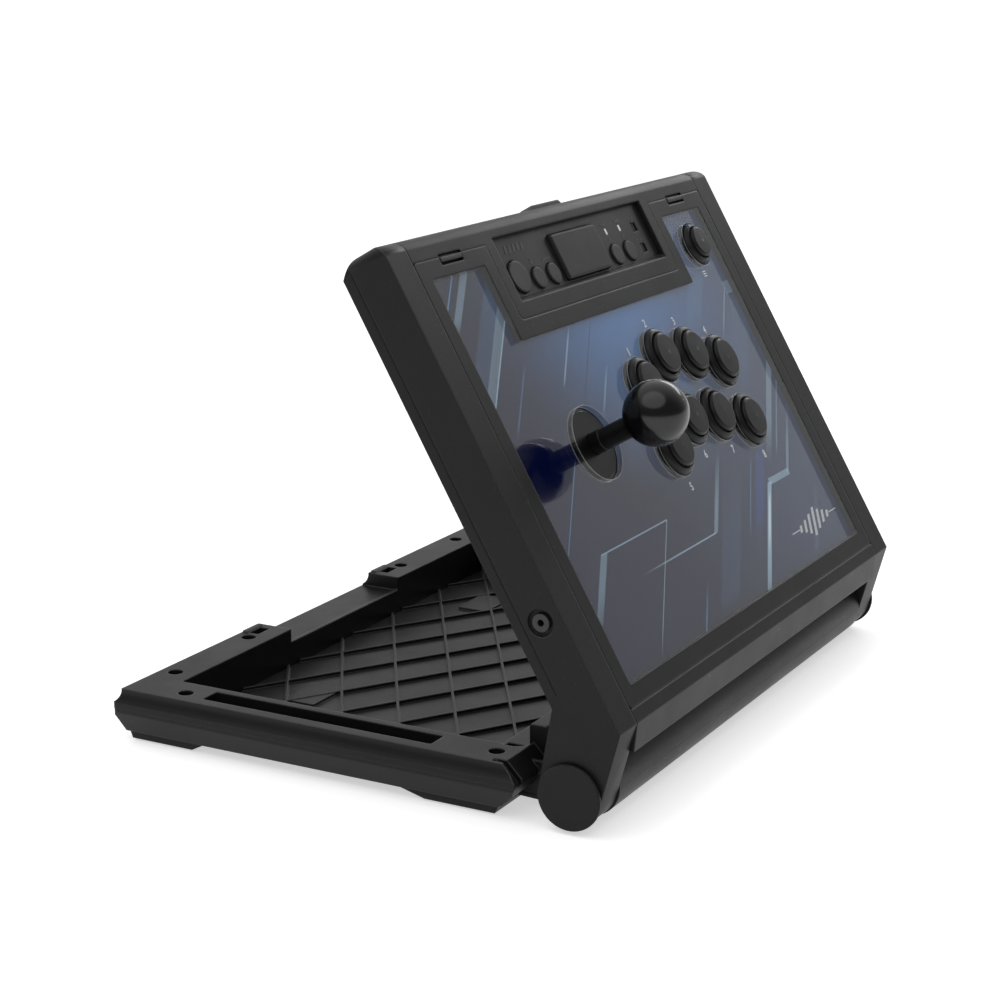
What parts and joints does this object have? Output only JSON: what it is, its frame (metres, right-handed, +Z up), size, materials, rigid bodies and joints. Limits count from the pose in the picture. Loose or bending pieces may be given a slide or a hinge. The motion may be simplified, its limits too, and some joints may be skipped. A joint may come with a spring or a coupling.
{
  "type": "arcade joystick panel",
  "caption": "Clamshell arcade joystick panel standing open: sprung stick with ball top, round push buttons, function strip, hinged lid over an open storage tray.",
  "frame": {"origin": "centre of the bounding box at floor level, under the rubber feet", "axes": "X across the panel, +Y to the back of the tray, +Z up"},
  "size_m": [0.394, 0.3048, 0.2841],
  "materials": {
    "shell_plastic": "fine spark-eroded texture",
    "tray_plastic": "fine spark-eroded texture",
    "frame_plastic": "fine texture with a polished rim",
    "foot_rubber": "matt",
    "screw_steel": "black-coated",
    "hinge_steel": "turned",
    "window_acrylic": "polished, clear",
    "artwork": "printed",
    "plate_steel": "black powder coat",
    "bracket_steel": "zinc plated",
    "function_plastic": "fine texture",
    "light_pipe": "frosted",
    "button_black": "satin gloss",
    "cap_black": "satin",
    "ball_black": "high gloss",
    "washer_black": "gloss",
    "nut_black": "as moulded",
    "switch_plastic": "as moulded",
    "stick_plastic": "as moulded",
    "gate_plastic": "as moulded",
    "spring_steel": "bright",
    "shaft_steel": "plated",
    "board_green": "solder mask",
    "cable_black": "smooth jacket",
    "socket_metal": "bright",
    "jack_black": "as moulded"
  },
  "bodies": {
    "base": {"tray_upper": "tray_plastic", "tray_lower": "tray_plastic", "rubber_feet": "foot_rubber", "tray_screws": "screw_steel", "latch_strikes": "bracket_steel", "hinge_pins": "hinge_steel"},
    "lid": {"lid_middle": "shell_plastic", "lid_side_left": "shell_plastic", "lid_side_right": "shell_plastic", "hinge_caps": "shell_plastic", "function_plate": "function_plastic", "led_pipes": "light_pipe", "panel_frame": "frame_plastic", "acrylic_window": "window_acrylic", "artwork_sheet": "artwork", "mounting_plate": "plate_steel", "lid_screws": "screw_steel", "headset_jack": "jack_black", "usb_socket": "socket_metal", "main_board": "board_green", "wiring": "cable_black", "button_bodies": "button_black", "button_nuts": "nut_black", "button_switches": "switch_plastic", "stick_bracket": "bracket_steel", "stick_housing": "stick_plastic", "stick_gate": "gate_plastic", "stick_switches": "switch_plastic"},
    "play_button_1": {"plunger_1": "button_black"},
    "play_button_2": {"plunger_2": "button_black"},
    "play_button_3": {"plunger_3": "button_black"},
    "play_button_4": {"plunger_4": "button_black"},
    "play_button_5": {"plunger_5": "button_black"},
    "play_button_6": {"plunger_6": "button_black"},
    "play_button_7": {"plunger_7": "button_black"},
    "play_button_8": {"plunger_8": "button_black"},
    "option_button": {"plunger_option": "button_black"},
    "home_button": {"home_button": "cap_black"},
    "small_button_1": {"small_button_1": "cap_black"},
    "small_button_2": {"small_button_2": "cap_black"},
    "small_button_3": {"small_button_3": "cap_black"},
    "small_button_4": {"small_button_4": "cap_black"},
    "touchpad": {"touchpad": "cap_black"},
    "slide_knob_1": {"slide_knob_1": "cap_black"},
    "slide_knob_2": {"slide_knob_2": "cap_black"},
    "panel_clip_left": {"panel_clip_left": "cap_black"},
    "panel_clip_right": {"panel_clip_right": "cap_black"},
    "release_button": {"release_button": "cap_black"},
    "latch_hook_left": {"latch_hook_left": "stick_plastic"},
    "latch_hook_right": {"latch_hook_right": "stick_plastic"},
    "stick_cradle": {"stick_cradle": "stick_plastic"},
    "stick": {"stick_shaft": "shaft_steel", "stick_shaft_cover": "washer_black", "stick_ball": "ball_black", "stick_pivot": "stick_plastic", "stick_actuator": "stick_plastic", "stick_spring": "spring_steel"},
    "washer_carrier": {"lower_washer": "washer_black"},
    "dust_washer": {"dust_washer": "washer_black"}
  },
  "joints": [
    {"name": "lid_hinge", "type": "hinge", "parent": "base", "child": "lid", "pos_m": [0, -0.1261, 0.0195], "axis": [1, 0, 0], "range_deg": [-60, 0]},
    {"name": "play_button_1_press", "type": "slide", "parent": "lid", "child": "play_button_1", "axis": [0, 0.866, -0.5], "range_m": [0, 0.0032], "stiffness_N_per_m": 200, "springref_m": -0.002},
    {"name": "play_button_2_press", "type": "slide", "parent": "lid", "child": "play_button_2", "axis": [0, 0.866, -0.5], "range_m": [0, 0.0032], "stiffness_N_per_m": 200, "springref_m": -0.002},
    {"name": "play_button_3_press", "type": "slide", "parent": "lid", "child": "play_button_3", "axis": [0, 0.866, -0.5], "range_m": [0, 0.0032], "stiffness_N_per_m": 200, "springref_m": -0.002},
    {"name": "play_button_4_press", "type": "slide", "parent": "lid", "child": "play_button_4", "axis": [0, 0.866, -0.5], "range_m": [0, 0.0032], "stiffness_N_per_m": 200, "springref_m": -0.002},
    {"name": "play_button_5_press", "type": "slide", "parent": "lid", "child": "play_button_5", "axis": [0, 0.866, -0.5], "range_m": [0, 0.0032], "stiffness_N_per_m": 200, "springref_m": -0.002},
    {"name": "play_button_6_press", "type": "slide", "parent": "lid", "child": "play_button_6", "axis": [0, 0.866, -0.5], "range_m": [0, 0.0032], "stiffness_N_per_m": 200, "springref_m": -0.002},
    {"name": "play_button_7_press", "type": "slide", "parent": "lid", "child": "play_button_7", "axis": [0, 0.866, -0.5], "range_m": [0, 0.0032], "stiffness_N_per_m": 200, "springref_m": -0.002},
    {"name": "play_button_8_press", "type": "slide", "parent": "lid", "child": "play_button_8", "axis": [0, 0.866, -0.5], "range_m": [0, 0.0032], "stiffness_N_per_m": 200, "springref_m": -0.002},
    {"name": "option_button_press", "type": "slide", "parent": "lid", "child": "option_button", "axis": [0, 0.866, -0.5], "range_m": [0, 0.0032], "stiffness_N_per_m": 200, "springref_m": -0.002},
    {"name": "home_button_press", "type": "slide", "parent": "lid", "child": "home_button", "axis": [0, 0.866, -0.5], "range_m": [0, 0.001], "stiffness_N_per_m": 500, "springref_m": -0.001},
    {"name": "small_button_1_press", "type": "slide", "parent": "lid", "child": "small_button_1", "axis": [0, 0.866, -0.5], "range_m": [0, 0.001], "stiffness_N_per_m": 500, "springref_m": -0.001},
    {"name": "small_button_2_press", "type": "slide", "parent": "lid", "child": "small_button_2", "axis": [0, 0.866, -0.5], "range_m": [0, 0.001], "stiffness_N_per_m": 500, "springref_m": -0.001},
    {"name": "small_button_3_press", "type": "slide", "parent": "lid", "child": "small_button_3", "axis": [0, 0.866, -0.5], "range_m": [0, 0.001], "stiffness_N_per_m": 500, "springref_m": -0.001},
    {"name": "small_button_4_press", "type": "slide", "parent": "lid", "child": "small_button_4", "axis": [0, 0.866, -0.5], "range_m": [0, 0.001], "stiffness_N_per_m": 500, "springref_m": -0.001},
    {"name": "touchpad_press", "type": "slide", "parent": "lid", "child": "touchpad", "axis": [0, 0.866, -0.5], "range_m": [0, 0.0006], "stiffness_N_per_m": 900, "springref_m": -0.001},
    {"name": "slide_knob_1_travel", "type": "slide", "parent": "lid", "child": "slide_knob_1", "axis": [1, 0, 0], "range_m": [0, 0.0024]},
    {"name": "slide_knob_2_travel", "type": "slide", "parent": "lid", "child": "slide_knob_2", "axis": [1, 0, 0], "range_m": [0, 0.0024]},
    {"name": "panel_clip_left_travel", "type": "slide", "parent": "lid", "child": "panel_clip_left", "axis": [0, -0.5, -0.866], "range_m": [0, 0.0013]},
    {"name": "panel_clip_right_travel", "type": "slide", "parent": "lid", "child": "panel_clip_right", "axis": [0, -0.5, -0.866], "range_m": [0, 0.0013]},
    {"name": "release_press", "type": "slide", "parent": "lid", "child": "release_button", "axis": [0, -0.5, -0.866], "range_m": [0, 0.0025], "stiffness_N_per_m": 300, "springref_m": -0.003},
    {"name": "latch_hook_left_swing", "type": "hinge", "parent": "lid", "child": "latch_hook_left", "pos_m": [-0.0727, -0.01826, 0.26428], "axis": [1, 0, 0], "range_deg": [-4, 0]},
    {"name": "latch_hook_right_swing", "type": "hinge", "parent": "lid", "child": "latch_hook_right", "pos_m": [0.0727, -0.01826, 0.26428], "axis": [1, 0, 0], "range_deg": [-4, 0]},
    {"name": "stick_up_down", "type": "hinge", "parent": "lid", "child": "stick_cradle", "pos_m": [-0.0831, -0.07425, 0.16531], "axis": [1, 0, 0], "range_deg": [-8, 8], "stiffness_Nm_per_rad": 0.5},
    {"name": "stick_left_right", "type": "hinge", "parent": "stick_cradle", "child": "stick", "pos_m": [-0.0831, -0.07425, 0.16531], "axis": [0, 0.5, 0.866], "range_deg": [-8, 8], "stiffness_Nm_per_rad": 0.5},
    {"name": "washer_left_right", "type": "slide", "parent": "lid", "child": "washer_carrier", "axis": [1, 0, 0], "range_m": [-0.0014, 0.0014]},
    {"name": "washer_up_down", "type": "slide", "parent": "washer_carrier", "child": "dust_washer", "axis": [0, 0.5, 0.866], "range_m": [-0.0014, 0.0014]}
  ],
  "couplings": [
    {"joint": "latch_hook_left_swing", "follows": "release_press", "rad_per_m": -27.9},
    {"joint": "latch_hook_right_swing", "follows": "release_press", "rad_per_m": -27.9},
    {"joint": "washer_left_right", "follows": "stick_left_right", "m_per_rad": 0.0097},
    {"joint": "washer_up_down", "follows": "stick_up_down", "m_per_rad": -0.0097}
  ]
}
